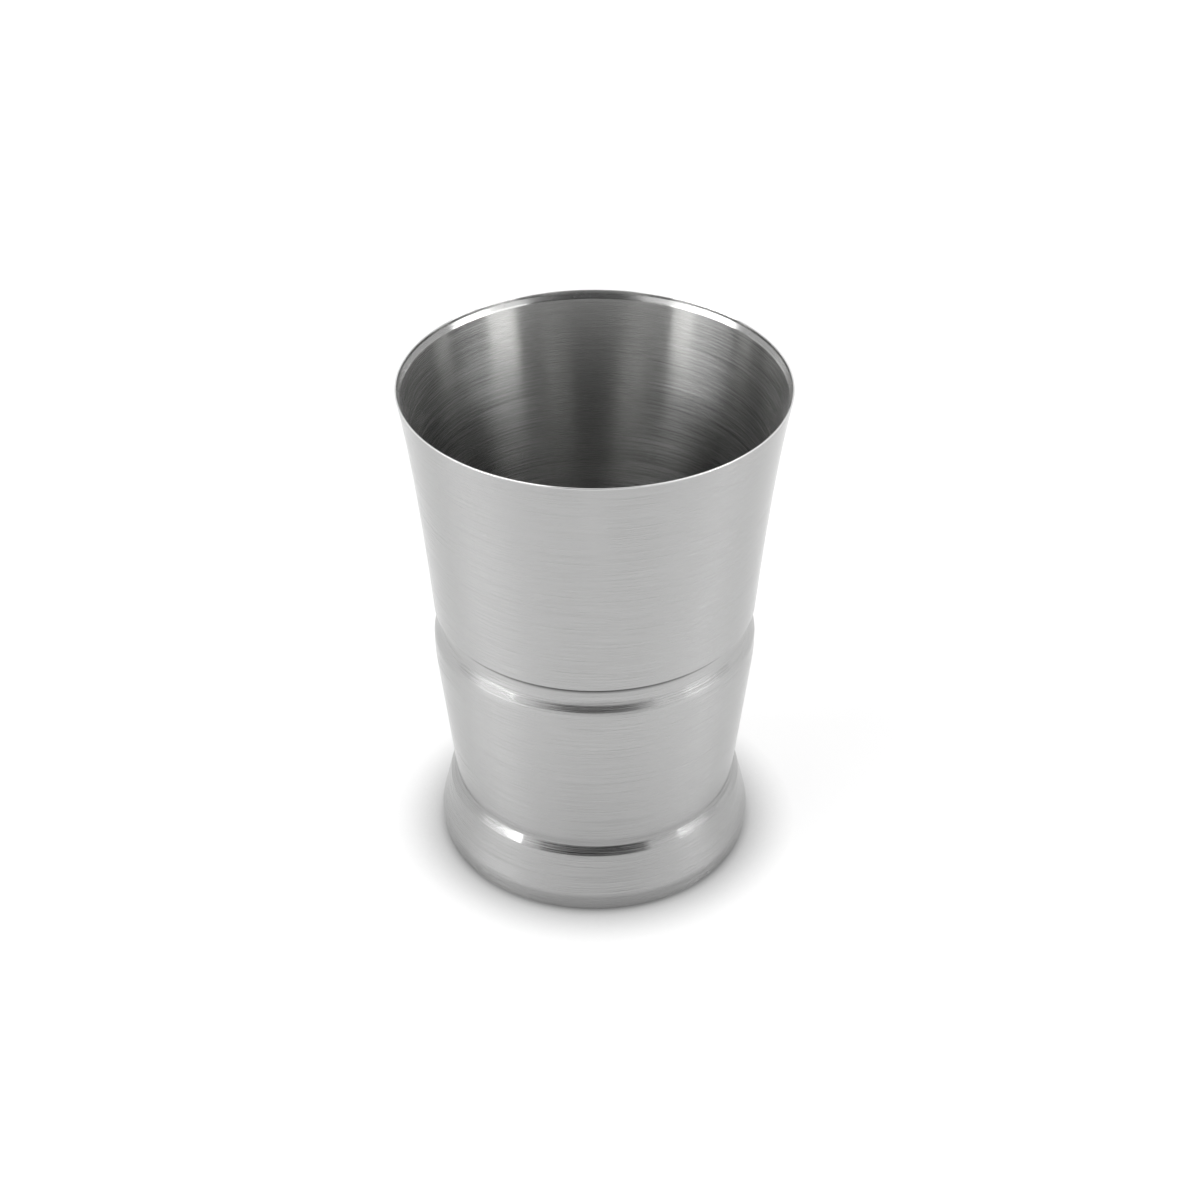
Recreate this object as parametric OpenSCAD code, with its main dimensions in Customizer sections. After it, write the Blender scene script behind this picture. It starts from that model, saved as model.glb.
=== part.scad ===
// A double-wall julep cup of brushed stainless steel.
// An outer shell and a plain inner cup meet at a welded lip. A pressed base
// plate closes the foot. Every piece is turned about Z, and z = 0 is the table.

/* [Cup] */
// Height of the cup
cup_h = 114; // [98:1:150]
// Outer diameter at the lip
rim_d = 82; // [76:0.5:96]
// Thickness of the steel sheet
sheet_t = 0.35; // [0.3:0.05:0.6]

/* [Upper wall] */
// Height of the upper wall's lower edge above the table
edge_z = 61; // [52:0.1:72]
// Outer diameter at the upper wall's lower edge
edge_d = 69.9; // [66:0.1:74]
// Depth by which the flared wall is dished in from a straight cone
wall_sag = 0.6; // [0:0.05:1.2]
// Place of the deepest dish, as a share of the wall's length from the lip
wall_sag_share = 0.36; // [0.3:0.01:0.6]
// Bend radius of the wall's lower edge
edge_bend_r = 0.8; // [0.6:0.05:1.2]

/* [Groove and band] */
// Depth of the rolled groove below the upper wall's edge
groove_depth = 1.5; // [0.8:0.1:2.2]
// Height of the groove's upper flank, from the edge down to the root
flank_h = 0.9; // [0.5:0.05:1.2]
// Bend radius at the groove's root
root_bend_r = 1; // [0.7:0.1:1.4]
// Outer diameter of the band below the groove
band_d = 70.2; // [68.4:0.1:74]
// Height from the edge down to where the ledge starts that leads to the band
ledge_drop = 3.75; // [3:0.05:4.5]
// Lean of the ledge from the vertical, in degrees
ledge_lean = 28; // [22:1:36]
// Bend radius where the ledge runs into the groove and into the band
ledge_bend_r = 4.2; // [3:0.1:7]
// Height from the ledge's foot down to where the lower wall starts
band_drop = 4.65; // [3.5:0.05:7.5]
// Radius of the soft turn from the band into the lower wall
band_turn_r = 50; // [20:1:70]

/* [Foot] */
// Height of the neck above the table
neck_z = 16.4; // [14:0.1:22]
// Outer diameter at the neck
neck_d = 62.7; // [58:0.1:66]
// Inside radius of the neck's bend
neck_bend_r = 1.2; // [0.8:0.1:3]
// Height from the neck down to the foot's shoulder
shoulder_drop = 2.3; // [1.5:0.1:3]
// Lean of the foot's shoulder from the vertical, in degrees
shoulder_lean = 30.5; // [20:0.5:40]
// Bend radius of the foot's shoulder
shoulder_bend_r = 1.5; // [1:0.1:4]
// Height of the foot's widest place above the table
foot_edge_z = 4.6; // [3.5:0.1:6]
// Outer diameter at the foot's widest place
foot_d = 69.9; // [67.4:0.1:76]
// Bend radius at the foot's widest place
foot_bend_r = 4; // [2:0.5:6]
// Outer diameter where the foot meets the table
base_d = 69; // [66:0.1:72]
// Outside radius of the bend at the bottom
base_bend_r = 1.3; // [1:0.05:1.6]
// Width of the shell's turned-in lip at the bottom
base_lip = 2; // [1.8:0.1:3]

/* [Inner cup] */
// Height of the shell's bare edge above the lip's weld
lip_edge_h = 0.7; // [0.3:0.05:1.2]
// Height of the inner cup's own flare below the weld
flare_h = 0.25; // [0.2:0.05:1]
// Lean of the flare from the vertical, in degrees
flare_lean = 30; // [24:1:40]
// Bend radius between the flare and the inner wall
flare_bend_r = 0.15; // [0.1:0.05:1]
// Air gap between the inner cup and the groove
groove_gap = 1.55; // [0.6:0.05:2.5]
// Air gap between the inner cup and the neck
neck_gap = 3.2; // [1.5:0.1:5]
// Air gap between the inner cup's floor and the base plate
floor_gap = 6.5; // [3:0.1:10]
// Bend radius where the inner wall turns into the floor
floor_bend_r = 8; // [3:0.5:14]

/* [Base plate and welds] */
// Depth by which the base plate's panel is set in from the table
base_recess = 2.5; // [1.5:0.1:4]
// Bend radius of the base plate's edge
plate_bend_r = 1.5; // [1:0.1:2]
// Width of the weld between the shell's bottom lip and the base plate
weld_w = 0.6; // [0.4:0.05:1]
// Depth by which the foot weld is ground back from the table
weld_relief = 0.1; // [0.05:0.05:0.2]

/* [Hidden] */
$fn = 180;

// Largest turn and length that one facet of a bend's outline covers
facet_deg = 8;
facet_len = 1.2;
// Turns smaller than this, in degrees, stay sharp
least_turn = 0.05;
// Share of a side that a bend may take where the next corner is sharp
end_share = 0.95;
// Facets round the shell's top edge
crest_steps = 12;
// Facets along the flared wall's outline and along the inner wall's
wall_steps = 16;
inner_steps = 20;

brushed_steel = [0.72, 0.72, 0.73];
satin_steel = [0.55, 0.55, 0.56];
polished_steel = [0.85, 0.85, 0.86];

// Radii of the shell's stations
rim_r = rim_d / 2;
edge_r = edge_d / 2;
groove_r = edge_r - groove_depth;
band_r = band_d / 2;
neck_r = neck_d / 2;
foot_r = foot_d / 2;
base_r = base_d / 2;

// Place of the groove, the ledge and the foot's shoulder
groove_z = edge_z - flank_h;
ledge_z = edge_z - ledge_drop;
ledge_foot_z = ledge_z - abs(band_r - groove_r) / tan(ledge_lean);
band_z = ledge_foot_z - band_drop;
// The shell's narrowest place between its wall and its foot
waist_r = min(groove_r, band_r);
shoulder_z = neck_z - shoulder_drop;
shoulder_r = neck_r + shoulder_drop * tan(shoulder_lean);

// The lip: the shell's edge is rounded, and its wall starts at the round's foot
crest_r = sheet_t / 2;
lip_top = [rim_r, cup_h - crest_r];
wall_foot = [edge_r, edge_z];
wall_run = wall_foot - lip_top;
// Pulling the curve's handle by twice the sag dishes the wall by the sag
wall_pull = [wall_run.y, -wall_run.x] / norm(wall_run) * 2 * wall_sag;
wall_handle = lip_top + wall_run * wall_sag_share + wall_pull;
rim_dir = (wall_handle - lip_top) / norm(wall_handle - lip_top);
rim_lean = atan(rim_dir.x / rim_dir.y);
// Width of the shell's sheet, cut level at the lip
lip_cut_w = -sheet_t / rim_dir.y;

// Inside the shell's edge the weld fills the corner over the inner cup's end, which
// leans against the shell. The shell's wall is straight down to there.
weld_drop = lip_edge_h - crest_r;
weld_top = lip_top - [lip_cut_w, 0] - rim_dir / rim_dir.y * weld_drop;
weld_len = sheet_t / sin(flare_lean - rim_lean);
cup_top = weld_top + rim_dir * weld_len;
flare_side = [-cos(flare_lean), sin(flare_lean)];
band_foot = lip_top + rim_dir * ((cup_top - lip_top) * rim_dir);

// Bottom of the foot: shell lip, weld and base plate side by side
lip_end_r = base_r - base_lip;
plate_r = lip_end_r - weld_w;
panel_z = base_recess + sheet_t;
// Where the foot is drawn in over its base, the panel stays clear of the foot's wall
panel_r = min(plate_r, foot_r - sheet_t - weld_w);
floor_z = panel_z + floor_gap;

// Point p moved by t square to a path that runs along d, cut off along c
function end_shift(p, d, c, t) = p + c * t / (c * [d.y, -d.x]);

// Unit vector from a to b
function dir(a, b) = (b - a) / norm(b - a);

// A path moved by t to its right-hand side, with ends cut along c0 and c1
function shifted(p, t, c0, c1) = let (last = len(p) - 1) [
    end_shift(p[0], dir(p[0], p[1]), c0, t),
    for (i = [1 : last - 1]) let (
        a = dir(p[i - 1], p[i]),
        b = dir(p[i], p[i + 1]),
        n = [a.y, -a.x],
        m = [b.y, -b.x]
    ) p[i] + (n + m) * t / (1 + n * m),
    end_shift(p[last], dir(p[last - 1], p[last]), c1, t)
];

// Outline of a sheet of thickness t whose outer face is the path p
function sheet_outline(p, t, c0, c1) = let (q = shifted(p, t, c0, c1))
    concat(p, [for (i = [len(q) - 1 : -1 : 0]) q[i]]);

// Points of a curve from a to c that leaves along a-b and arrives along b-c
function flare(a, b, c, steps) = [for (i = [0 : steps]) let (u = i / steps)
    a * (1 - u) * (1 - u) + b * 2 * u * (1 - u) + c * u * u];

// Radius at height z on the parabola through the stations a, b and c
function through(z, a, b, c) =
    a.x * (z - b.y) * (z - c.y) / (a.y - b.y) / (a.y - c.y) +
    b.x * (z - a.y) * (z - c.y) / (b.y - a.y) / (b.y - c.y) +
    c.x * (z - a.y) * (z - b.y) / (c.y - a.y) / (c.y - b.y);

// One rounded corner q of radius r, seen from its neighbours a and b.
// The radius is held to what the rooms ra and rb on the two sides allow.
function bend(a, q, b, r, ra, rb) = let (
    u = dir(q, a),
    v = dir(q, b),
    half = acos(max(-1, min(1, u * v))) / 2,
    turn = 180 - 2 * half
) r == 0 || turn < least_turn ? [q] : let (
    t = min(r / tan(half), ra, rb),
    rr = t * tan(half),
    steps = max(ceil(turn / facet_deg), ceil(rr * turn * PI / 180 / facet_len)),
    centre = q + (u + v) / norm(u + v) * rr / sin(half),
    start = q + u * t - centre,
    side = sign(u.y * v.x - u.x * v.y)
) [for (i = [0 : steps]) let (k = side * turn * i / steps)
    centre + [start.x * cos(k) - start.y * sin(k), start.x * sin(k) + start.y * cos(k)]];

// Room on the side from corner a to corner b: half of it where b is bent too,
// and otherwise all but a short straight end
function room(a, b) = norm([a[0] - b[0], a[1] - b[1]]) * (b[2] > 0 ? 1 / 2 : end_share);

// A path through corners [radius, height, bend radius], with sharp ends
function bent(c) = let (last = len(c) - 1, p = [for (q = c) [q[0], q[1]]]) [
    p[0],
    for (i = [1 : last - 1]) each
        bend(p[i - 1], p[i], p[i + 1], c[i][2], room(c[i], c[i - 1]), room(c[i], c[i + 1])),
    p[last]
];

// Outer face of the shell, from the lip down to the turned-in lip at the bottom
shell_wall = concat([lip_top], flare(band_foot, wall_handle, wall_foot, wall_steps));
shell_last = shell_wall[len(shell_wall) - 2];
shell_lower = bent([
    [shell_last.x, shell_last.y, 0],
    [edge_r, edge_z, edge_bend_r],
    [groove_r, groove_z, root_bend_r],
    [groove_r, ledge_z, ledge_bend_r],
    [band_r, ledge_foot_z, ledge_bend_r],
    [band_r, band_z, band_turn_r],
    [neck_r, neck_z, neck_bend_r],
    [shoulder_r, shoulder_z, shoulder_bend_r],
    [foot_r, foot_edge_z, foot_bend_r],
    [base_r, 0, base_bend_r],
    [lip_end_r, 0, 0]
]);
shell_face = concat([for (i = [0 : len(shell_wall) - 3]) shell_wall[i]], shell_lower);

// Rounded top edge of the shell, from its inside over to its outside
crest = [for (i = [1 : crest_steps - 1]) let (k = 180 - 180 * i / crest_steps)
    lip_top + [lip_cut_w * (cos(k) - 1) / 2, crest_r * sin(k)]];

// Outer face of the inner cup: flare, wall and floor
cup_shoulder = cup_top - [flare_h * tan(flare_lean), flare_h];
cup_at_groove = [waist_r - sheet_t - groove_gap, groove_z];
cup_at_neck = [neck_r - sheet_t - neck_gap, neck_z];
cup_wall = [for (i = [1 : inner_steps])
    let (z = cup_shoulder.y + (floor_z - cup_shoulder.y) * i / inner_steps)
    [through(z, cup_shoulder, cup_at_groove, cup_at_neck), z]];
// The floor's bend starts where its radius leaves the wall
wall_above_bend = [for (p = cup_wall) if (p.y > floor_z + floor_bend_r) [p.x, p.y, 0]];
cup_corner = cup_wall[len(cup_wall) - 1];
cup_face = bent(concat(
    [[cup_top.x, cup_top.y, 0],
     [cup_shoulder.x, cup_shoulder.y, flare_bend_r]],
    wall_above_bend,
    [[cup_corner.x, floor_z, floor_bend_r], [0, floor_z, 0]]
));

// Top face of the base plate, from its centre out and down to its edge
plate_face = bent([
    [0, panel_z, 0],
    [panel_r, panel_z, plate_bend_r],
    [plate_r, weld_relief, 0]
]);

// A formed sheet turned about Z, with its face p outside and its first end capped
module turned_sheet(p, c0, c1, cap = []) {
    rotate_extrude() polygon(concat(sheet_outline(p, sheet_t, c0, c1), cap));
}

// Outer shell: flared wall, rolled groove, band, taper, neck and foot in one sheet
module outer_shell() {
    color(brushed_steel) turned_sheet(shell_face, [-1, 0], [0, 1], crest);
}

// Inner cup: deep-drawn liner with a closed floor
module inner_cup() {
    color(satin_steel) turned_sheet(cup_face, flare_side, [0, 1]);
}

// Base plate: pressed disc with a turned-down edge, set into the foot
module base_plate() {
    color(brushed_steel) turned_sheet(plate_face, [0, -1], [-1, 0]);
}

// Rim weld: fills the corner between shell and inner cup, ground flush with the flare
module rim_weld() {
    color(polished_steel) rotate_extrude()
        polygon([weld_top, cup_top, cup_top + flare_side * sheet_t]);
}

// Foot weld: ring between the shell's bottom lip and the base plate's edge
module foot_weld() {
    color(satin_steel) rotate_extrude() translate([plate_r, weld_relief])
        square([weld_w, sheet_t - weld_relief]);
}

outer_shell();
inner_cup();
base_plate();
rim_weld();
foot_weld();
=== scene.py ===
"""Dresses a double-wall julep cup of brushed stainless steel.

Five turned pieces stand for the five CAD nodes, each a smooth surface with its own
steel finish. They stand on a pale table in soft studio light, seen as in the photograph.
Blender's lengths are metres; the sizes below are millimetres, as in the part's source.
"""

import math

import bpy
import numpy as np
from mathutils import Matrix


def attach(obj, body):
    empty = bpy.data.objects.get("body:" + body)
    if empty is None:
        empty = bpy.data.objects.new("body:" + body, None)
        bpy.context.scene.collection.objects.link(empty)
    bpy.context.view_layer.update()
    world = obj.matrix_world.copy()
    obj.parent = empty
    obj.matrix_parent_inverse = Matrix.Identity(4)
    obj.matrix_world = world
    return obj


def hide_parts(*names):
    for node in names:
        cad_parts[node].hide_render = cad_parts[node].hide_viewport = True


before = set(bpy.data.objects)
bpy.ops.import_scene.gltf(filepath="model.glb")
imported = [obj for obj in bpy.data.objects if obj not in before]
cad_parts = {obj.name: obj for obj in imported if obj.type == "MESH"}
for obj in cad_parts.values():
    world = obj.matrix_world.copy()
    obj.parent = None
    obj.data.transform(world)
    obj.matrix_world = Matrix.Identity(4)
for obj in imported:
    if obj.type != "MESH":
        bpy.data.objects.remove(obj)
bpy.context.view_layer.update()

MM = 0.001

# Sizes of the cup. A name that ends in H or Z is a height, in DROP a height below the
# corner above, in R a radius, in BEND_R the radius of a rounded corner, in T or W the
# width of a section, and in LEAN an angle in degrees.

# Cup and upper wall
CUP_H = 114.0
RIM_R = 41.0
SHEET_T = 0.35
EDGE_Z = 61.0
EDGE_R = 34.95
WALL_SAG = 0.6
WALL_SAG_SHARE = 0.36
EDGE_BEND_R = 0.8

# Groove and band
GROOVE_DEPTH = 1.5
FLANK_H = 0.9
ROOT_BEND_R = 1.0
BAND_R = 35.1
LEDGE_DROP = 3.75
LEDGE_LEAN = 28.0
LEDGE_BEND_R = 4.2
BAND_DROP = 4.65
BAND_BEND_R = 50.0

# Foot
NECK_Z = 16.4
NECK_R = 31.35
NECK_BEND_R = 1.2
SHOULDER_DROP = 2.3
SHOULDER_LEAN = 30.5
SHOULDER_BEND_R = 1.5
FOOT_EDGE_Z = 4.6
FOOT_R = 34.95
FOOT_BEND_R = 4.0
BASE_R = 34.5
BASE_BEND_R = 1.3
BASE_LIP = 2.0

# Inner cup
LIP_EDGE_H = 0.7
FLARE_H = 0.25
FLARE_LEAN = 30.0
FLARE_BEND_R = 0.15
GROOVE_GAP = 1.55
NECK_GAP = 3.2
FLOOR_GAP = 6.5
FLOOR_BEND_R = 8.0

# Base plate and welds
BASE_RECESS = 2.5
PLATE_BEND_R = 1.5
WELD_W = 0.6
WELD_RELIEF = 0.1

# Fineness of the meshes: points of a ring and of the curves, longest sides in
# millimetres, bends and the angle of a sharp edge in degrees
RING_POINTS = 240
WALL_POINTS = 40
LINER_POINTS = 81
CREST_POINTS = 13
SHEET_STEP = 1.6
LINER_STEP = 1.2
BEND_STEP = 2.5
BEND_SIDES = 4
SHARP_ANGLE = 35.0
COARSE_SKIP = 3

# A turn of less than this, in radians, is no corner; a length of less than this is nothing
STRAIGHT = 1e-3
TINY = 1e-9


# Profiles: paths of [radius, height]

def unit(vector):
    """A vector divided by its length."""
    return vector / np.linalg.norm(vector)


def curve(start, handle, end, count):
    """Quadratic curve. With u from 0 to 1, it is the start times (1 - u) squared, plus
    the handle times 2 u (1 - u), plus the end times u squared."""
    u = np.linspace(0.0, 1.0, count)[:, None]
    return start * (1 - u) ** 2 + 2 * handle * u * (1 - u) + end * u ** 2


def bend(before, corner, after, radius, room_before, room_after):
    """Arc that rounds a corner between the points before and after it. It touches both
    sides at the radius over the tangent of half the corner's angle, held to the room
    on each side, and its centre lies on the corner's bisector."""
    u, v = unit(before - corner), unit(after - corner)
    half = math.acos(np.clip(u @ v, -1, 1)) / 2
    turn = math.pi - 2 * half
    if radius == 0 or turn < STRAIGHT:
        return corner[None, :]
    reach = min(radius / math.tan(half), room_before, room_after)
    radius = reach * math.tan(half)
    centre = corner + unit(u + v) * radius / math.sin(half)
    start = corner + u * reach - centre
    way = math.copysign(1, u[1] * v[0] - u[0] * v[1])
    sides = max(BEND_SIDES, math.ceil(math.degrees(turn) / BEND_STEP))
    angle = way * np.linspace(0, turn, sides + 1)
    return centre + np.stack([start[0] * np.cos(angle) - start[1] * np.sin(angle),
                              start[0] * np.sin(angle) + start[1] * np.cos(angle)], axis=1)


def bent(corners):
    """Path through corners [radius, height, bend radius]: each inner corner becomes
    its arc, and the side between two bent corners is shared in halves."""
    corners = np.array(corners, float)
    points, radii = corners[:, :2], corners[:, 2]
    side = np.linalg.norm(np.diff(points, axis=0), axis=1)
    both = (radii[:-1] > 0) & (radii[1:] > 0)
    room = np.where(both, side / 2, side)
    arcs = [bend(points[i - 1], points[i], points[i + 1], radii[i], room[i - 1], room[i])
            for i in range(1, len(points) - 1)]
    return np.concatenate([points[:1], *arcs, points[-1:]])


def filled(path, step):
    """The path with every side longer than step cut into equal shorter sides: each
    point is the side's start plus its share of the way to the side's end."""
    side = np.linalg.norm(np.diff(path, axis=0), axis=1)
    count = np.maximum(1, np.ceil(side / step - TINY)).astype(int)
    first = np.repeat(np.arange(len(side)), count)
    place = np.arange(count.sum()) - np.repeat(np.cumsum(count) - count, count)
    share = place / np.repeat(count, count)
    points = path[first] + (path[first + 1] - path[first]) * share[:, None]
    return np.concatenate([points, path[-1:]])


def shifted(path, distance, start_cut, end_cut):
    """The path moved by a distance to its right-hand side. An inner point moves along
    the sum of its two sides' normals over 1 plus their product; each end slides along
    the direction of its cut."""
    sides = np.diff(path, axis=0)
    sides /= np.linalg.norm(sides, axis=1)[:, None]
    normals = np.stack([sides[:, 1], -sides[:, 0]], axis=1)
    dot = (normals[:-1] * normals[1:]).sum(1)
    moved = path.copy()
    moved[1:-1] += (normals[:-1] + normals[1:]) * (distance / (1 + dot))[:, None]
    moved[0] += start_cut * distance / (start_cut @ normals[0])
    moved[-1] += end_cut * distance / (end_cut @ normals[-1])
    return moved


def sheet_outline(path, start_cut, end_cut, fine_right=False):
    """Closed outline of a sheet: the path, then its copy a sheet's thickness to the
    right, run backwards. The left side keeps all its points and the right side each
    third, or the other way round where the right is to be fine."""
    right = shifted(path, SHEET_T, np.array(start_cut, float), np.array(end_cut, float))
    last = len(path) - 1
    coarse = np.unique(np.concatenate([np.arange(0, len(path), COARSE_SKIP), [last]]))
    if fine_right:
        return np.concatenate([path[coarse], right[::-1]])
    return np.concatenate([path, right[coarse][::-1]])


# Stations of the upper wall: the handle of its curve lies off the chord by twice the sag
CREST_R = SHEET_T / 2
LIP_TOP = np.array([RIM_R, CUP_H - CREST_R])
WALL_FOOT = np.array([EDGE_R, EDGE_Z])
WALL_RUN = WALL_FOOT - LIP_TOP
WALL_PULL = np.array([WALL_RUN[1], -WALL_RUN[0]]) / np.linalg.norm(WALL_RUN) * 2 * WALL_SAG
WALL_HANDLE = LIP_TOP + WALL_RUN * WALL_SAG_SHARE + WALL_PULL

# Stations of the lip: the shell runs straight beside the weld, and the inner cup's
# square-cut end leans on its inside
LIP_DIR = unit(WALL_HANDLE - LIP_TOP)
LIP_TURN = math.atan2(-LIP_DIR[0], -LIP_DIR[1])
LIP_CUT_W = -SHEET_T / LIP_DIR[1]
FLARE_TURN = math.radians(FLARE_LEAN)
FLARE_CUT = np.array([-math.cos(FLARE_TURN), math.sin(FLARE_TURN)])
WELD_TOP = LIP_TOP - [LIP_CUT_W, 0] - LIP_DIR / LIP_DIR[1] * (LIP_EDGE_H - CREST_R)
LINER_TOP = WELD_TOP + LIP_DIR * SHEET_T / math.sin(FLARE_TURN - LIP_TURN)
LIP_FOOT = LIP_TOP + LIP_DIR * ((LINER_TOP - LIP_TOP) @ LIP_DIR)

# Stations of the groove, the ledge, the band and the foot
GROOVE_R = EDGE_R - GROOVE_DEPTH
GROOVE_Z = EDGE_Z - FLANK_H
LEDGE_Z = EDGE_Z - LEDGE_DROP
LEDGE_FOOT_Z = LEDGE_Z - (BAND_R - GROOVE_R) / math.tan(math.radians(LEDGE_LEAN))
BAND_Z = LEDGE_FOOT_Z - BAND_DROP
SHOULDER_Z = NECK_Z - SHOULDER_DROP
SHOULDER_R = NECK_R + SHOULDER_DROP * math.tan(math.radians(SHOULDER_LEAN))

# Stations of the base and of the inner cup's floor
BASE_LIP_R = BASE_R - BASE_LIP
PLATE_R = BASE_LIP_R - WELD_W
PANEL_Z = BASE_RECESS + SHEET_T
FLOOR_Z = PANEL_Z + FLOOR_GAP


def shell_path():
    """Outer face of the shell: the dished wall's curve, then the rounded corners of
    edge, groove, ledge, band, neck, shoulder, foot and turned-in lip."""
    wall = np.concatenate([LIP_TOP[None, :], curve(LIP_FOOT, WALL_HANDLE, WALL_FOOT, WALL_POINTS)])
    lower = bent([
        [*wall[-2], 0],
        [EDGE_R, EDGE_Z, EDGE_BEND_R],
        [GROOVE_R, GROOVE_Z, ROOT_BEND_R],
        [GROOVE_R, LEDGE_Z, LEDGE_BEND_R],
        [BAND_R, LEDGE_FOOT_Z, LEDGE_BEND_R],
        [BAND_R, BAND_Z, BAND_BEND_R],
        [NECK_R, NECK_Z, NECK_BEND_R],
        [SHOULDER_R, SHOULDER_Z, SHOULDER_BEND_R],
        [FOOT_R, FOOT_EDGE_Z, FOOT_BEND_R],
        [BASE_R, 0, BASE_BEND_R],
        [BASE_LIP_R, 0, 0],
    ])
    return filled(np.concatenate([wall[:-2], lower]), SHEET_STEP)


def crest_arc():
    """Rounded top edge of the shell, from its inside over to its outside: a half
    ellipse as wide as the level cut through the sheet and half a sheet high."""
    angle = np.linspace(math.pi, 0, CREST_POINTS)[1:-1]
    return LIP_TOP + np.stack([LIP_CUT_W * (np.cos(angle) - 1) / 2, CREST_R * np.sin(angle)],
                              axis=1)


def liner_path():
    """Outer face of the inner cup: flare, then the radius at each height from the
    parabola through shoulder, groove and neck, a bend and the floor."""
    shoulder = LINER_TOP - [FLARE_H * math.tan(FLARE_TURN), FLARE_H]
    stations = np.array([shoulder,
                         [GROOVE_R - SHEET_T - GROOVE_GAP, GROOVE_Z],
                         [NECK_R - SHEET_T - NECK_GAP, NECK_Z]])
    parabola = np.polyfit(stations[:, 1], stations[:, 0], 2)
    z = np.linspace(shoulder[1], FLOOR_Z, LINER_POINTS)[1:]
    z = z[z > FLOOR_Z + FLOOR_BEND_R]
    wall = np.stack([np.polyval(parabola, z), z, np.zeros_like(z)], axis=1)
    return filled(bent([
        [*LINER_TOP, 0],
        [*shoulder, FLARE_BEND_R],
        *wall.tolist(),
        [np.polyval(parabola, FLOOR_Z), FLOOR_Z, FLOOR_BEND_R],
        [0, FLOOR_Z, 0],
    ]), LINER_STEP)


def plate_path():
    """Top face of the base plate: flat panel, bend and turned-down edge."""
    return filled(bent([
        [0, PANEL_Z, 0],
        [PLATE_R, PANEL_Z, PLATE_BEND_R],
        [PLATE_R, WELD_RELIEF, 0],
    ]), SHEET_STEP)


def rim_weld_outline():
    """Three-cornered section of the lip's weld, between the shell's inside and the
    inner cup's end, with its open face in line with the flare."""
    return np.array([WELD_TOP, LINER_TOP, LINER_TOP + FLARE_CUT * SHEET_T])


def foot_weld_outline():
    """Section of the foot weld, a rectangle between the shell's lip and the plate."""
    w, h = WELD_W, SHEET_T - WELD_RELIEF
    return np.array([[0, 0], [w, 0], [w, h], [0, h]]) + [PLATE_R, WELD_RELIEF]


# Turned meshes

def turned_surface(outline):
    """Points and faces of a closed outline turned about Z. The point of profile point i
    at angle j is the radius times the angle's cosine and sine, and the height; the
    angles are equal steps of a full turn. Four-sided faces join neighbouring rings; a
    point on the axis is one pole with triangles round it."""
    r, z = (outline * MM).T
    area = (r * np.roll(z, -1) - np.roll(r, -1) * z).sum()
    if area < 0:
        r, z = r[::-1], z[::-1]
    on_axis = r < TINY
    if on_axis.any():
        # Start behind the side that lies on the axis, so that it is left out
        start = np.flatnonzero(on_axis & np.roll(on_axis, 1))[0]
        r, z, on_axis = np.roll(r, -start), np.roll(z, -start), np.roll(on_axis, -start)
    angle = np.arange(RING_POINTS) * 2 * math.pi / RING_POINTS
    rings = np.stack([np.outer(r, np.cos(angle)), np.outer(r, np.sin(angle)),
                      np.repeat(z[:, None], RING_POINTS, 1)], axis=2)
    # Rows of vertex numbers, one for each profile point; a pole repeats its one vertex
    size = np.where(on_axis, 1, RING_POINTS)
    first = np.cumsum(size) - size
    row = first[:, None] + np.where(on_axis[:, None], 0, np.arange(RING_POINTS)[None, :])
    points = np.concatenate([rings[~on_axis].reshape(-1, 3), rings[on_axis][:, 0]])
    order = np.concatenate([row[~on_axis].ravel(), first[on_axis]])
    verts = np.empty_like(points)
    verts[order] = points
    low, high = row, np.roll(row, -1, axis=0)
    if on_axis.any():
        low, high, pole_low, pole_high = low[:-1], high[:-1], on_axis[:-1], on_axis[1:]
    else:
        pole_low = pole_high = np.zeros(len(low), bool)
    quad = np.stack([low, np.roll(low, -1, 1), np.roll(high, -1, 1), high], axis=2)
    faces = quad[~(pole_low | pole_high)].reshape(-1, 4).tolist()
    faces += quad[pole_low][:, :, [0, 2, 3]].reshape(-1, 3).tolist()
    faces += quad[pole_high][:, :, [0, 1, 3]].reshape(-1, 3).tolist()
    return verts, faces


def turned(name, outline, material):
    """A piece of the cup: its closed outline turned about Z, smooth but for the edges
    that turn by more than the sharp angle."""
    verts, faces = turned_surface(outline)
    mesh = bpy.data.meshes.new(name)
    mesh.from_pydata(verts, [], faces)
    mesh.materials.append(material)
    mesh.shade_smooth()
    mesh.set_sharp_from_angle(angle=math.radians(SHARP_ANGLE))
    piece = bpy.data.objects.new(name, mesh)
    bpy.context.collection.objects.link(piece)
    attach(piece, "root")
    return piece


# Shader node helpers

def add(tree, kind, inputs=(), **settings):
    """A node with its settings; inputs are values or sockets, by name or number."""
    node = tree.nodes.new(kind)
    for key, value in settings.items():
        setattr(node, key, value)
    for key, value in dict(inputs).items():
        if isinstance(value, bpy.types.NodeSocket):
            tree.links.new(value, node.inputs[key])
        else:
            node.inputs[key].default_value = value
    return node


def calc(tree, operation, a, b=0.0, c=0.0):
    """Output of one Math node."""
    return add(tree, "ShaderNodeMath", {0: a, 1: b, 2: c}, operation=operation).outputs[0]


def product(tree, a, b, c=1.0):
    """Product of two or three values."""
    pair = calc(tree, "MULTIPLY", a, b)
    return pair if c == 1.0 else calc(tree, "MULTIPLY", pair, c)


def ramp(tree, value, low, high, to_low=0.0, to_high=1.0, smooth=True):
    """Output of a Map Range node: to_low up to low, to_high from high on, and between
    them an S-shaped or a straight rise."""
    return add(tree, "ShaderNodeMapRange",
               {"Value": value, "From Min": low, "From Max": high, "To Min": to_low, "To Max": to_high},
               interpolation_type="SMOOTHSTEP" if smooth else "LINEAR").outputs["Result"]


def grey(level):
    """A grey colour."""
    return (level, level, level, 1.0)


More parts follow.
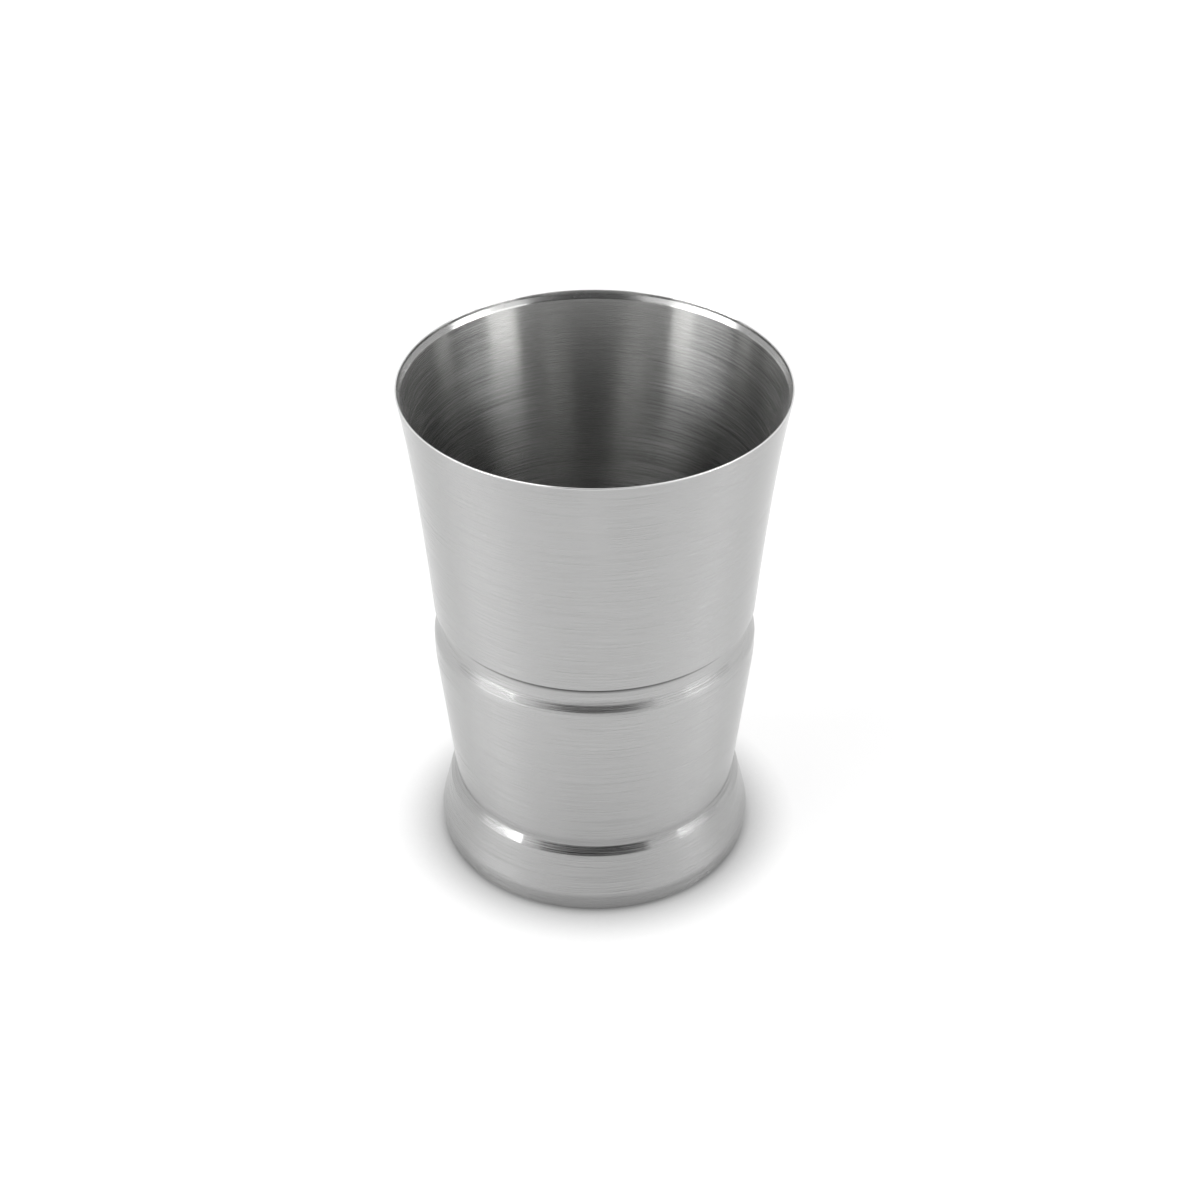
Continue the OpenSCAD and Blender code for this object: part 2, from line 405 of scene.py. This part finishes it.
def mixed(tree, share, plain, full):
    """Colour that goes from plain, where the share is 0, to full, where it is 1."""
    # In a colour Mix node, socket 0 is the share, 6 and 7 are the colours, 2 the result
    return add(tree, "ShaderNodeMix", {0: share, 6: plain, 7: full}, data_type="RGBA").outputs[2]


def new_group(name, inputs, outputs):
    """An empty shader node group, its named float inputs and its output node."""
    group = bpy.data.node_groups.new(name, "ShaderNodeTree")
    for key in inputs:
        group.interface.new_socket(key, in_out="INPUT", socket_type="NodeSocketFloat")
    for key in outputs:
        group.interface.new_socket(key, in_out="OUTPUT", socket_type="NodeSocketFloat")
    return group, add(group, "NodeGroupInput").outputs, add(group, "NodeGroupOutput").inputs


# Steel

# Brush marks: noise cells to the metre across the marks of a coarse and of a fine belt,
# and along them; then for each mask its share of that scale and the noise's detail
COARSE_BELT = 4000.0
FINE_BELT = 90000.0
BELT_RUN = 40.0
MARKS = {"Fine": (1.0, 1.0), "Broad": (0.06, 4.0)}
MARKS_ROUGHNESS = 0.6

# Tone of the steel: shares of the fine and broad marks, and where it is dark and light
FINE_SHARE = 0.6
BROAD_SHARE = 0.4
DARK_TONE = 0.3
LIGHT_TONE = 0.7

# Clouds of wear: noise cells to the metre, detail, roughness, and where a cloud starts
# and is full
CLOUD_SCALE = 60.0
CLOUD_DETAIL = 4.0
CLOUD_ROUGHNESS = 0.55
CLOUD_START = 0.35
CLOUD_FULL = 0.7

# Greys of painted shade and of a painted highlight, and how much full painted shade adds to roughness
PAINTED_SHADE_GREY = 0.05
PAINTED_HIGHLIGHT_GREY = 0.9
CREASE_ROUGHER = 0.2

# A quarter turn of the anisotropy spreads the highlights across the marks
ACROSS_TURN = 0.25


def brush_marks_group():
    """Marks of a belt that ran round the cup. Noise reads x and y slowly and the way
    across the marks fast; that way is height plus radius, so that the marks are level
    lines on a wall and rings on a floor. The broad marks' scale is a share of the fine
    ones' across the marks, and the square root of that share along them."""
    group, given, result = new_group("brush_marks", ["Across", "Along"], ["Fine", "Broad"])
    place = add(group, "ShaderNodeTexCoord").outputs["Object"]
    x, y, z = add(group, "ShaderNodeSeparateXYZ", {0: place}).outputs
    radius = calc(group, "SQRT", calc(group, "ADD", product(group, x, x), product(group, y, y)))
    way = calc(group, "ADD", z, radius)
    for name, (share, detail) in MARKS.items():
        along = product(group, given["Along"], math.sqrt(share))
        spot = add(group, "ShaderNodeCombineXYZ", {
            0: product(group, x, along),
            1: product(group, y, along),
            2: product(group, product(group, given["Across"], share), way)}).outputs[0]
        noise = add(group, "ShaderNodeTexNoise", {
            "Vector": spot, "Scale": 1.0, "Detail": detail, "Roughness": MARKS_ROUGHNESS})
        group.links.new(noise.outputs["Fac"], result[name])
    return group


def wear_group():
    """Soft clouds where hands have dulled the steel: noise of several sizes at once,
    taken from where a cloud starts to where it is full."""
    group, given, result = new_group("handling_wear", ["Scale"], ["Cloud"])
    place = add(group, "ShaderNodeTexCoord").outputs["Object"]
    noise = add(group, "ShaderNodeTexNoise", {
        "Vector": place, "Scale": given["Scale"], "Detail": CLOUD_DETAIL,
        "Roughness": CLOUD_ROUGHNESS})
    group.links.new(ramp(group, noise.outputs["Fac"], CLOUD_START, CLOUD_FULL), result["Cloud"])
    return group


def ring_group():
    """Mask of a ring round the cup, for painted shade or a painted highlight: 1 at Height, falling
    softly to 0 at Reach above and below it."""
    group, given, result = new_group("ring_mask", ["Height", "Reach"], ["Mask"])
    place = add(group, "ShaderNodeTexCoord").outputs["Object"]
    z = add(group, "ShaderNodeSeparateXYZ", {0: place}).outputs["Z"]
    away = calc(group, "ABSOLUTE", calc(group, "SUBTRACT", z, given["Height"]))
    group.links.new(ramp(group, away, 0.0, given["Reach"], 1.0, 0.0), result["Mask"])
    return group


BRUSH = brush_marks_group()
WEAR = wear_group()
RING = ring_group()


def ring_tint(tree, tint, height, reach, share, level):
    """Mask of a ring, and the tint mixed there with a grey of a level, by a share."""
    mask = add(tree, "ShaderNodeGroup", {"Height": height * MM, "Reach": reach * MM},
               node_tree=RING).outputs["Mask"]
    return mask, mixed(tree, product(tree, mask, share), tint, grey(level))


def steel(name, light, dark, smooth, rough, grain=0.5, blend=0.05, anisotropy=0.0,
          across=COARSE_BELT, along=BELT_RUN, wear=0.0, painted_shade_rings=(), edges=()):
    """A brushed steel. Its colour runs from dark to light with the brush marks, and its roughness from
    smooth to rough where a mark is deeper than grain, within blend of it on a scale whose middle is
    0.5. Wear adds roughness in clouds. Each ring of painted shade (height, reach, loss) paints the
    colour darker round it and makes the steel rougher there, and each ring of painted highlight
    (height, reach, gain) paints the colour lighter."""
    material = bpy.data.materials.new(name)
    material.use_nodes = True
    tree = material.node_tree
    shader = tree.nodes["Principled BSDF"]
    shader.inputs["Metallic"].default_value = 1.0
    shader.inputs["Anisotropic"].default_value = anisotropy
    shader.inputs["Anisotropic Rotation"].default_value = ACROSS_TURN
    marks = add(tree, "ShaderNodeGroup", {"Across": across, "Along": along}, node_tree=BRUSH).outputs
    cloud = add(tree, "ShaderNodeGroup", {"Scale": CLOUD_SCALE}, node_tree=WEAR).outputs["Cloud"]
    tone = calc(tree, "ADD", product(tree, marks["Fine"], FINE_SHARE),
                product(tree, marks["Broad"], BROAD_SHARE))
    tint = mixed(tree, ramp(tree, tone, DARK_TONE, LIGHT_TONE), (*dark, 1.0), (*light, 1.0))
    deep = ramp(tree, marks["Fine"], grain - blend, grain + blend)
    brushed = calc(tree, "MULTIPLY_ADD", deep, rough - smooth, smooth)
    roughness = calc(tree, "MULTIPLY_ADD", cloud, wear, brushed)
    # Painted shade: each ring darkens the colour towards a near-black grey
    for height, reach, loss in painted_shade_rings:
        mask, tint = ring_tint(tree, tint, height, reach, loss, PAINTED_SHADE_GREY)
        roughness = calc(tree, "MULTIPLY_ADD", mask, CREASE_ROUGHER * loss, roughness)
    # Painted highlight: each ring lightens the colour towards a pale grey
    for height, reach, gain in edges:
        tint = ring_tint(tree, tint, height, reach, gain, PAINTED_HIGHLIGHT_GREY)[1]
    tree.links.new(tint, shader.inputs["Base Color"])
    tree.links.new(roughness, shader.inputs["Roughness"])
    return material


# Rings of the shell: height and reach in millimetres, and the share of light lost to painted shade or
# gained by a painted highlight. The lower wall is painted darker softly towards the table, and the
# painted shade at the neck's crease lies a little above its corner.
NECK_SHADE_LIFT = 0.4
# Painted shade: the lower wall painted darker towards the table, standing for the table's shadow seen
# in it
LOWER_WALL_PAINTED_SHADE = (4.0, 50.0, 0.14)
# Painted shade: a darker ring at the neck's concave corner
NECK_PAINTED_SHADE = (NECK_Z + NECK_SHADE_LIFT, 2.0, 0.15)
# Painted shade: a dark ring along the groove under the upper wall's edge
GROOVE_PAINTED_SHADE = (GROOVE_Z, 1.2, 1.0)
# Painted highlight: the lip's crest painted lighter, towards a pale grey
CREST_PAINTED_HIGHLIGHT = (CUP_H, 0.5, 0.7)

# The shell gets painted shade at the lower wall, the neck and the groove, and a painted highlight at
# the crest
SHELL_STEEL = steel("brushed_shell", light=(0.453, 0.453, 0.451), dark=(0.445, 0.445, 0.443),
                    smooth=0.05, rough=0.5, grain=0.555, anisotropy=0.9,
                    across=FINE_BELT, along=50, wear=0.02,
                    painted_shade_rings=[LOWER_WALL_PAINTED_SHADE, NECK_PAINTED_SHADE, GROOVE_PAINTED_SHADE], edges=[CREST_PAINTED_HIGHLIGHT])
LINER_STEEL = steel("satin_liner", light=(0.445, 0.445, 0.439), dark=(0.43, 0.43, 0.424),
                    smooth=0.15, rough=0.5, grain=0.575, blend=0.09, anisotropy=0.93,
                    across=FINE_BELT, along=45, wear=0.02)
LIP_STEEL = steel("polished_lip", light=(0.42, 0.42, 0.417), dark=(0.4, 0.4, 0.397),
                  smooth=0.26, rough=0.5, grain=0.58, anisotropy=0.9,
                  across=FINE_BELT, along=50, wear=0.02)
BASE_STEEL = steel("brushed_base", light=(0.56, 0.56, 0.556), dark=(0.5, 0.5, 0.496),
                   smooth=0.28, rough=0.45, anisotropy=0.6, across=3000, wear=0.04)
WELD_STEEL = steel("ground_weld", light=(0.5, 0.5, 0.496), dark=(0.42, 0.42, 0.416),
                   smooth=0.35, rough=0.5, along=200, wear=0.05)


# The five pieces of the cup

# Directions of the square cuts at the ends of a sheet
INWARDS = [-1, 0]
DOWN = [0, -1]
UP = [0, 1]

OUTER_SHELL = turned("shell_smooth",
                     np.concatenate([sheet_outline(shell_path(), INWARDS, UP), crest_arc()]),
                     SHELL_STEEL)
INNER_CUP = turned("liner_smooth", sheet_outline(liner_path(), FLARE_CUT, UP, fine_right=True),
                   LINER_STEEL)
BASE_PLATE = turned("base_smooth", sheet_outline(plate_path(), DOWN, INWARDS),
                    BASE_STEEL)
RIM_WELD = turned("lip_weld", rim_weld_outline(), LIP_STEEL)
FOOT_WELD = turned("foot_ring", foot_weld_outline(), WELD_STEEL)

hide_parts("outer_shell")
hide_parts("inner_cup")
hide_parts("base_plate")
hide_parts("rim_weld")
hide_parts("foot_weld")


# Table: half a side and how far it lies below the foot, in millimetres, then its grey,
# its glow and its roughness
TABLE_HALF = 3000.0
TABLE_DROP = 0.02
TABLE_GREY = 0.3
TABLE_GLOW = 0.71
TABLE_ROUGHNESS = 0.9

# Shade where the cup stands: its reach in millimetres and its rays; how much of the sky
# is open where the shade is full, and the light that is left there
SHADE_REACH = 12.0
SHADE_RAYS = 8
SHADE_FULL = 0.4
SHADE_LEFT = 0.3


def table():
    """Flat pale sheet under the cup, a square about the origin. What the camera and the
    metal see of it is lifted towards white. Within a few millimetres of the cup it
    darkens by how much of the sky the cup hides."""
    mesh = bpy.data.meshes.new("table")
    corners = np.array([[-1, -1, 0], [1, -1, 0], [1, 1, 0], [-1, 1, 0]]) * TABLE_HALF
    mesh.from_pydata((corners - [0, 0, TABLE_DROP]) * MM, [], [[0, 1, 2, 3]])
    material = bpy.data.materials.new("pale_table")
    material.use_nodes = True
    tree = material.node_tree
    shader = tree.nodes["Principled BSDF"]
    sky = add(tree, "ShaderNodeAmbientOcclusion", {"Distance": SHADE_REACH * MM}, samples=SHADE_RAYS)
    lit = ramp(tree, sky.outputs["AO"], SHADE_FULL, 1.0, SHADE_LEFT, 1.0, smooth=False)
    tree.links.new(mixed(tree, lit, grey(0.0), grey(TABLE_GREY)), shader.inputs["Base Color"])
    shader.inputs["Roughness"].default_value = TABLE_ROUGHNESS
    shader.inputs["Specular IOR Level"].default_value = 0.0
    shader.inputs["Emission Color"].default_value = grey(1.0)
    ray = add(tree, "ShaderNodeLightPath").outputs
    seen = calc(tree, "MAXIMUM", calc(tree, "MAXIMUM", ray["Is Camera Ray"], ray["Is Glossy Ray"]),
                ray["Is Transmission Ray"])
    tree.links.new(product(tree, seen, lit, TABLE_GLOW), shader.inputs["Emission Strength"])
    mesh.materials.append(material)
    piece = bpy.data.objects.new("table", mesh)
    bpy.context.collection.objects.link(piece)


table()


# Light of the room. Each window and soft box has the azimuth of its centre, half its
# width, its lowest and highest elevation and its soft edge, all in degrees, then its
# light. The azimuth is 0 towards -Y, where the camera stands, and grows towards +X.
ROOM_LIGHT = 0.95
WINDOWS = [
    ((0, 100, 16, 50, 3), 0.35),   # dim side towards the camera
    ((0, 180, 50, 90, 3), 1.3),    # bright ceiling
    ((0, 40, 16, 75, 1.5), 0.02),  # dark panel behind the camera
]
SOFT_BOXES = [
    ((-69, 22, 21, 31, 2), 5.5),   # left, at half height
    ((64, 23, 21, 31, 2), 4.0),    # right, at half height
    ((-48, 18, 34, 65, 3), 3.2),   # left, high
    ((61, 16, 36, 80, 4), 1.0),    # right, high
    ((-72, 17, 15, 21, 2), 19.0),  # left, low
    ((77, 13, 15, 21, 2), 15.0),   # right, low
]


def window_group():
    """Mask of a soft-edged window in the sky. It is 1 where the azimuth lies within
    Half of Centre and the elevation lies between Low and High, all in degrees."""
    group, given, result = new_group(
        "sky_window", ["Azimuth", "Elevation", "Centre", "Half", "Low", "High", "Soft"], ["Mask"])
    soft = given["Soft"]

    def past(value, edge):
        """0 below the edge less the soft width, 1 above the edge plus that width."""
        return ramp(group, calc(group, "SUBTRACT", value, edge), product(group, soft, -1.0), soft)

    away = calc(group, "ABSOLUTE", calc(group, "SUBTRACT", given["Azimuth"], given["Centre"]))
    within = calc(group, "SUBTRACT", 1.0, past(away, given["Half"]))
    above = past(given["Elevation"], given["Low"])
    below = calc(group, "SUBTRACT", 1.0, past(given["Elevation"], given["High"]))
    group.links.new(calc(group, "MULTIPLY", product(group, within, above), below), result["Mask"])
    return group


def studio():
    """World light: the room's plain light, times each window's light over the plain
    one where that window is, plus the light of each soft box."""
    world = bpy.data.worlds.new("studio")
    bpy.context.scene.world = world
    world.use_nodes = True
    tree = world.node_tree
    tree.nodes.clear()
    way = add(tree, "ShaderNodeTexCoord").outputs["Generated"]
    x, y, z = add(tree, "ShaderNodeSeparateXYZ", {0: way}).outputs
    to_degrees = math.degrees(1.0)
    azimuth = product(tree, calc(tree, "ARCTAN2", x, product(tree, y, -1.0)), to_degrees)
    elevation = product(tree, calc(tree, "ARCSINE", z), to_degrees)
    group = window_group()

    def window(centre, half, low, high, soft):
        return add(tree, "ShaderNodeGroup", {
            "Azimuth": azimuth, "Elevation": elevation, "Centre": centre, "Half": half,
            "Low": low, "High": high, "Soft": soft}, node_tree=group).outputs["Mask"]

    light = calc(tree, "ADD", ROOM_LIGHT, 0.0)
    for place, level in WINDOWS:
        change = calc(tree, "MULTIPLY_ADD", window(*place), level / ROOM_LIGHT - 1, 1.0)
        light = product(tree, light, change)
    for place, gain in SOFT_BOXES:
        light = calc(tree, "MULTIPLY_ADD", window(*place), gain, light)
    background = add(tree, "ShaderNodeBackground", {"Color": grey(1.0), "Strength": light})
    out = add(tree, "ShaderNodeOutputWorld")
    tree.links.new(background.outputs[0], out.inputs["Surface"])


studio()


# Camera, as in the photograph: sensor, lens and place in millimetres, the frame's shift
# as a share of its width, and the tilt in degrees up from straight down
SENSOR_W = 36.0
LENS = 71.91
SHIFT_SHARE = 0.0045
CAMERA_BACK = 428.67
CAMERA_UP = 358.6
CAMERA_TILT = 55.10

lens = bpy.data.cameras.new("photo_camera")
lens.sensor_width = SENSOR_W
lens.lens = LENS
lens.shift_x = SHIFT_SHARE
camera = bpy.data.objects.new("photo_camera", lens)
camera.location = (0.0, -CAMERA_BACK * MM, CAMERA_UP * MM)
camera.rotation_euler = (math.radians(CAMERA_TILT), 0.0, 0.0)
bpy.context.collection.objects.link(camera)
bpy.context.scene.camera = camera
bpy.context.scene.view_settings.view_transform = "Standard"
